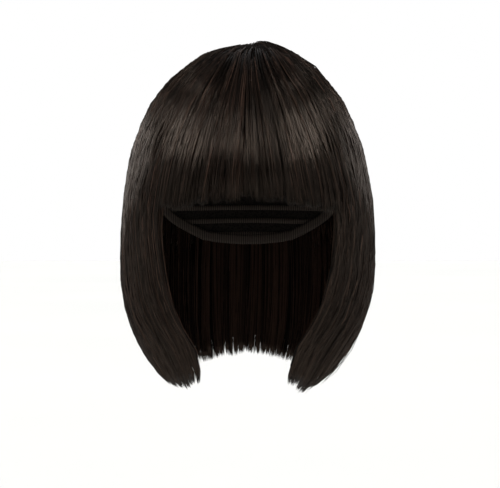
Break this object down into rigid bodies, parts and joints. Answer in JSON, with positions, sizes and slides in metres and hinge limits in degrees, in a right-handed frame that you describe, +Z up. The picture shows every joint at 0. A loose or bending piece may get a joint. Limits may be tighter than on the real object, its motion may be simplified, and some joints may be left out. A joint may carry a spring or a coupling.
{
  "type": "bob wig",
  "caption": "Chin-length bob wig of straight dark brown hair with a full fringe, side and back curtains of hair and a thin elastic cap, open for the head below and at the face.",
  "frame": {"origin": "inside of the cap's crown, where the top of the wearer's head touches it", "axes": "+Z up, -Y the way the face looks, +X to the wearer's left"},
  "size_m": [0.1748, 0.2146, 0.2401],
  "materials": {
    "hair": "sleek dark brown synthetic hair fibre",
    "cap_net": "matt black-brown elastic net"
  },
  "bodies": {
    "root": {"wig_cap": "cap_net", "crown_hair": "hair", "fringe": "hair", "side_hair_left": "hair", "back_hair": "hair", "side_hair_right": "hair"}
  },
  "joints": []
}
